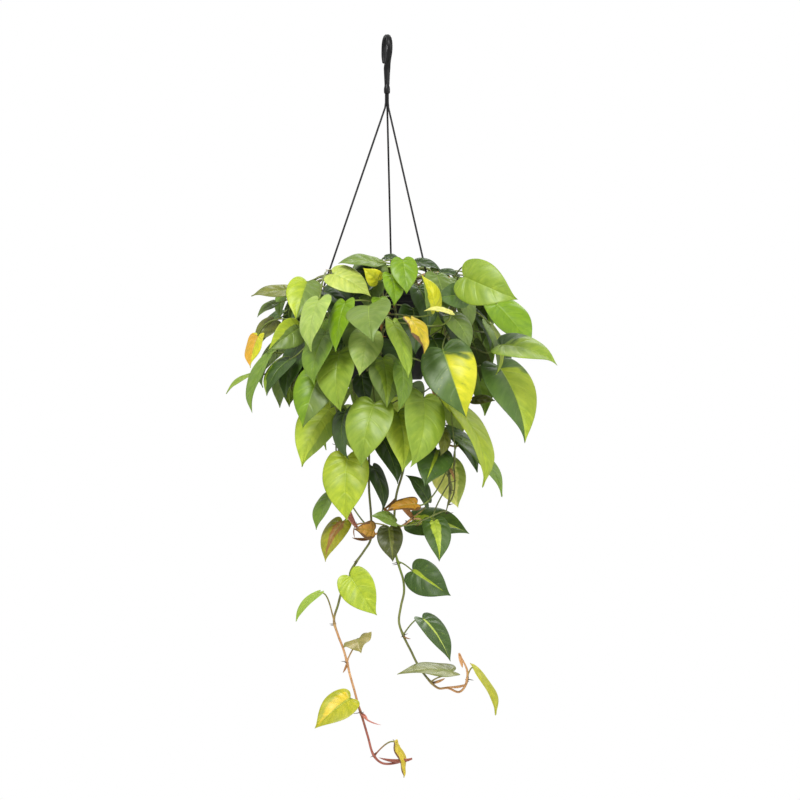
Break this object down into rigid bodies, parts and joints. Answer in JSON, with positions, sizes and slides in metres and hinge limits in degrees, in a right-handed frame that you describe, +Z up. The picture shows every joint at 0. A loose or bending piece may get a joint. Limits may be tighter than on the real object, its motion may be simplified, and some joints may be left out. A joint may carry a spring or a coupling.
{
  "type": "potted brasil philodendron",
  "caption": "Trailing heart-leaved philodendron with lime and green variegated leaves, in a round black plastic hanging pot on a three-strand hanger with a hook.",
  "frame": {"origin": "inside top of the hook's loop, where the hanger rests on the rail or ceiling hook that holds it up", "axes": "+Z up along the hanging axis; -Y towards the side the picture shows; +X to the right in the picture"},
  "size_m": [0.4238, 0.417, 0.9549],
  "materials": {
    "hanger": "black moulded plastic, satin gloss",
    "strand": "dark grey moulded plastic strand, satin",
    "pot": "black injection moulded plastic, fine satin",
    "potting_mix": "moist dark potting mix of peat, bark and white perlite grains, matt",
    "foliage": "waxy heart-shaped leaves in mid green with lime and yellow sectors, on olive petioles and stems, satin"
  },
  "bodies": {
    "root": {"hook": "hanger", "strand_left": "strand", "strand_right": "strand", "strand_back": "strand", "pot": "pot", "soil": "potting_mix", "vine_left": "foliage", "vine_right": "foliage", "vine_crossing": "foliage", "vine_middle": "foliage", "vine_near_1_1": "foliage", "vine_near_2_1": "foliage", "vine_near_2_2": "foliage", "vine_near_2_3": "foliage", "vine_near_2_4": "foliage", "vine_near_2_5": "foliage", "vine_near_3_1": "foliage", "vine_near_3_2": "foliage", "vine_near_3_3": "foliage", "vine_near_3_4": "foliage", "vine_near_3_5": "foliage", "vine_far_1_1": "foliage", "vine_far_1_2": "foliage", "vine_far_2_1": "foliage", "vine_far_2_2": "foliage", "vine_far_3_1": "foliage", "vine_far_3_2": "foliage"}
  },
  "joints": []
}
